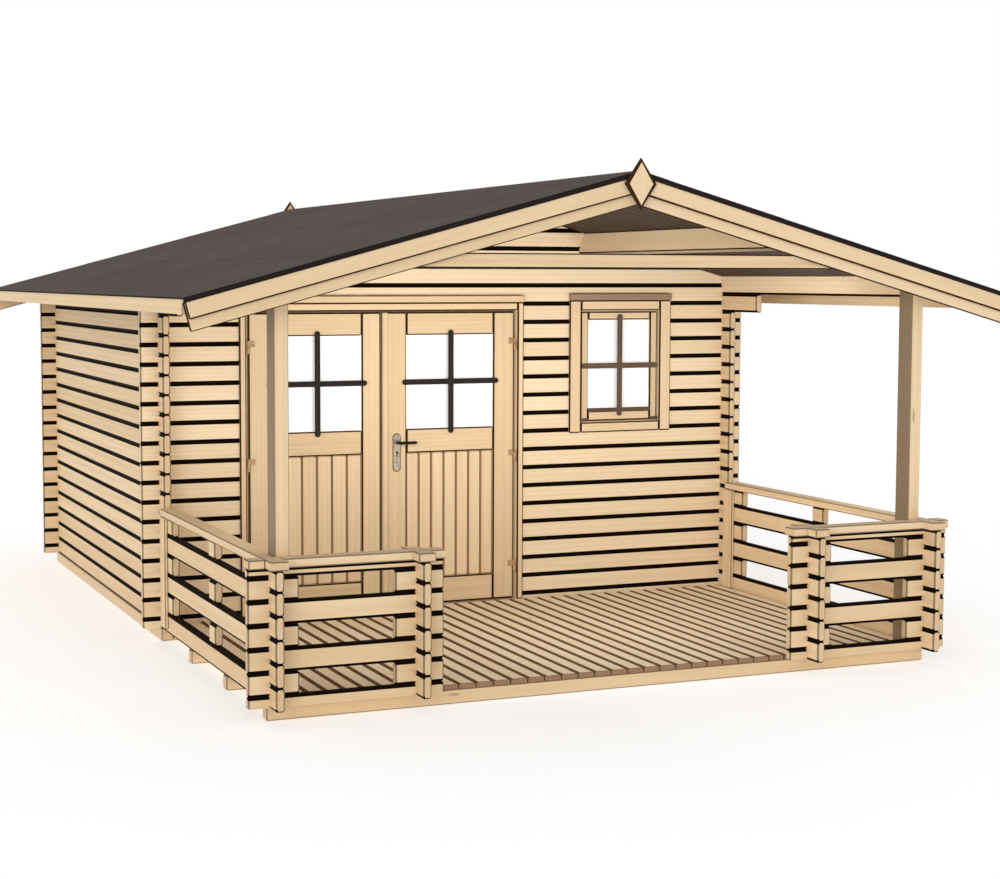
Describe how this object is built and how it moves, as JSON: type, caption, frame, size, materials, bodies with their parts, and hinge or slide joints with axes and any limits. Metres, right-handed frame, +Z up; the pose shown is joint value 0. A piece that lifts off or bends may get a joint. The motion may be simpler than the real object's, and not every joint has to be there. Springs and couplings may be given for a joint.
{
  "type": "garden house with terrace",
  "caption": "Log garden house with a felted saddle roof, glazed double door, small window and a covered front terrace behind a log railing.",
  "frame": {"origin": "middle of the bounding box at the underside of the foundation beams", "axes": "X across the house to the right, Y from the terrace to the rear wall, Z up"},
  "size_m": [4.648, 5.784, 2.7106],
  "materials": {
    "log_wood": "planed softwood logs",
    "trim_wood": "planed softwood boards",
    "joinery_wood": "planed softwood joinery",
    "floor_wood": "planed softwood floor boards",
    "roof_wood": "dark softwood roof boards",
    "felt": "matt bitumen roofing felt",
    "glass": "clear glass",
    "steel": "darkened steel"
  },
  "bodies": {
    "house": {"foundation_beams": "log_wood", "house_floor": "floor_wood", "terrace_joists": "log_wood", "terrace_deck": "floor_wood", "left_wall": "log_wood", "right_wall": "log_wood", "rear_wall": "log_wood", "front_wall_left": "log_wood", "front_wall_right": "log_wood", "front_gable": "log_wood", "left_wall_plate": "log_wood", "right_wall_plate": "log_wood", "ridge_purlin": "log_wood", "intermediate_purlins": "log_wood", "tie_beam": "log_wood", "terrace_posts": "log_wood", "left_roof_boards": "roof_wood", "right_roof_boards": "roof_wood", "roof_felt": "felt", "front_bargeboards": "trim_wood", "rear_bargeboards": "trim_wood", "gable_diamonds": "trim_wood", "eave_boards": "trim_wood", "door_frame": "trim_wood", "door_frame_hinges": "steel", "window_frame": "trim_wood", "window_sash": "joinery_wood", "window_glass": "glass", "left_side_railing": "log_wood", "right_side_railing": "log_wood", "left_front_railing": "log_wood", "right_front_railing": "log_wood", "left_handrail": "trim_wood", "right_handrail": "trim_wood", "railing_battens": "trim_wood"},
    "left_leaf": {"left_door_leaf": "joinery_wood", "left_leaf_hinges": "steel", "left_door_glass": "glass"},
    "right_leaf": {"right_door_leaf": "joinery_wood", "right_leaf_hinges": "steel", "right_door_glass": "glass", "door_lock_plate": "steel"},
    "lever": {"door_lever": "steel"}
  },
  "joints": [
    {"name": "left_leaf_hinge", "type": "hinge", "parent": "house", "child": "left_leaf", "pos_m": [-1.358, -0.5895, 1.0075], "axis": [0, 0, -1], "range_deg": [0, 110]},
    {"name": "right_leaf_hinge", "type": "hinge", "parent": "house", "child": "right_leaf", "pos_m": [0.363, -0.5895, 1.0075], "axis": [0, 0, 1], "range_deg": [0, 110]},
    {"name": "lever_turn", "type": "hinge", "parent": "right_leaf", "child": "lever", "pos_m": [-0.423, -0.629, 1.113], "axis": [0, 1, 0], "range_deg": [0, 40], "stiffness_Nm_per_rad": 1.5}
  ]
}
